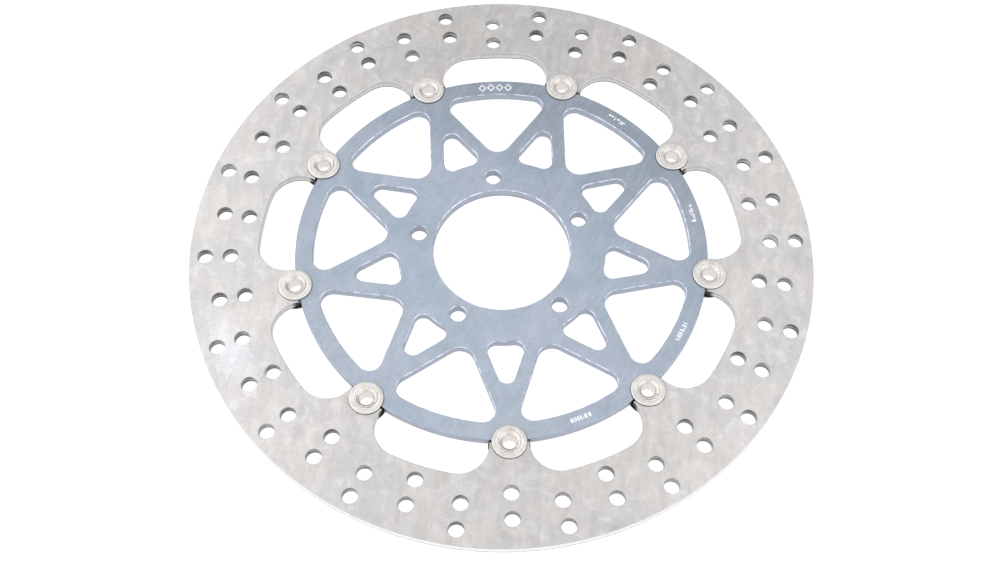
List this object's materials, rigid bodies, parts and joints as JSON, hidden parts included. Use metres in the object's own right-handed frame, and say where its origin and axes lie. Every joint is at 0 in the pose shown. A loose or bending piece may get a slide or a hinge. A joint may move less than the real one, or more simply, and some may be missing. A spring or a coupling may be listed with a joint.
{
  "type": "floating brake disc rotor",
  "caption": "Flat round motorcycle brake disc: drilled steel ring with inward tabs, held to a windowed aluminium carrier by sprung tubular buttons.",
  "frame": {"origin": "centre of the hub bore in the plane of the rear faces of ring and carrier; the hub seat stands 0.5 mm behind it", "axes": "+Z along the wheel axis, outboard, towards the flared button ends; +X through a button and the hub bolt hole in line with it"},
  "size_m": [0.32, 0.32, 0.0087],
  "materials": {
    "ring_steel": "ground stainless steel with fine crossed grinding lines",
    "carrier_aluminium": "blue-grey anodised, lightly brushed, bright broken edges",
    "button_plate": "pale nickel-zinc plate, turned and flared",
    "washer_plate": "pale nickel-zinc plate, tumbled satin",
    "spring_black": "black phosphated spring steel"
  },
  "bodies": {
    "carrier_body": {"carrier": "carrier_aluminium"},
    "ring_body": {"brake_ring": "ring_steel"},
    "button_1": {"button_bush_1": "button_plate", "front_washer_1": "washer_plate", "wave_spring_1": "spring_black"},
    "button_2": {"button_bush_2": "button_plate", "front_washer_2": "washer_plate", "wave_spring_2": "spring_black"},
    "button_3": {"button_bush_3": "button_plate", "front_washer_3": "washer_plate", "wave_spring_3": "spring_black"},
    "button_4": {"button_bush_4": "button_plate", "front_washer_4": "washer_plate", "wave_spring_4": "spring_black"},
    "button_5": {"button_bush_5": "button_plate", "front_washer_5": "washer_plate", "wave_spring_5": "spring_black"},
    "button_6": {"button_bush_6": "button_plate", "front_washer_6": "washer_plate", "wave_spring_6": "spring_black"},
    "button_7": {"button_bush_7": "button_plate", "front_washer_7": "washer_plate", "wave_spring_7": "spring_black"},
    "button_8": {"button_bush_8": "button_plate", "front_washer_8": "washer_plate", "wave_spring_8": "spring_black"},
    "button_9": {"button_bush_9": "button_plate", "front_washer_9": "washer_plate", "wave_spring_9": "spring_black"}
  },
  "joints": [
    {"name": "ring_float", "type": "slide", "parent": "carrier_body", "child": "ring_body", "axis": [0, 0, 1], "range_m": [-0.0003, 0], "stiffness_N_per_m": 120000, "springref_m": 0.0003, "deforming": ["wave_spring_1", "wave_spring_2", "wave_spring_3", "wave_spring_4", "wave_spring_5", "wave_spring_6", "wave_spring_7", "wave_spring_8", "wave_spring_9"]},
    {"name": "button_spin_1", "type": "hinge", "parent": "carrier_body", "child": "button_1", "pos_m": [0.107, 0, 0], "axis": [0, 0, 1], "continuous": true},
    {"name": "button_spin_2", "type": "hinge", "parent": "carrier_body", "child": "button_2", "pos_m": [0.08197, 0.06878, 0], "axis": [0, 0, 1], "continuous": true},
    {"name": "button_spin_3", "type": "hinge", "parent": "carrier_body", "child": "button_3", "pos_m": [0.01858, 0.10537, 0], "axis": [0, 0, 1], "continuous": true},
    {"name": "button_spin_4", "type": "hinge", "parent": "carrier_body", "child": "button_4", "pos_m": [-0.0535, 0.09266, 0], "axis": [0, 0, 1], "continuous": true},
    {"name": "button_spin_5", "type": "hinge", "parent": "carrier_body", "child": "button_5", "pos_m": [-0.10055, 0.0366, 0], "axis": [0, 0, 1], "continuous": true},
    {"name": "button_spin_6", "type": "hinge", "parent": "carrier_body", "child": "button_6", "pos_m": [-0.10055, -0.0366, 0], "axis": [0, 0, 1], "continuous": true},
    {"name": "button_spin_7", "type": "hinge", "parent": "carrier_body", "child": "button_7", "pos_m": [-0.0535, -0.09266, 0], "axis": [0, 0, 1], "continuous": true},
    {"name": "button_spin_8", "type": "hinge", "parent": "carrier_body", "child": "button_8", "pos_m": [0.01858, -0.10537, 0], "axis": [0, 0, 1], "continuous": true},
    {"name": "button_spin_9", "type": "hinge", "parent": "carrier_body", "child": "button_9", "pos_m": [0.08197, -0.06878, 0], "axis": [0, 0, 1], "continuous": true}
  ]
}
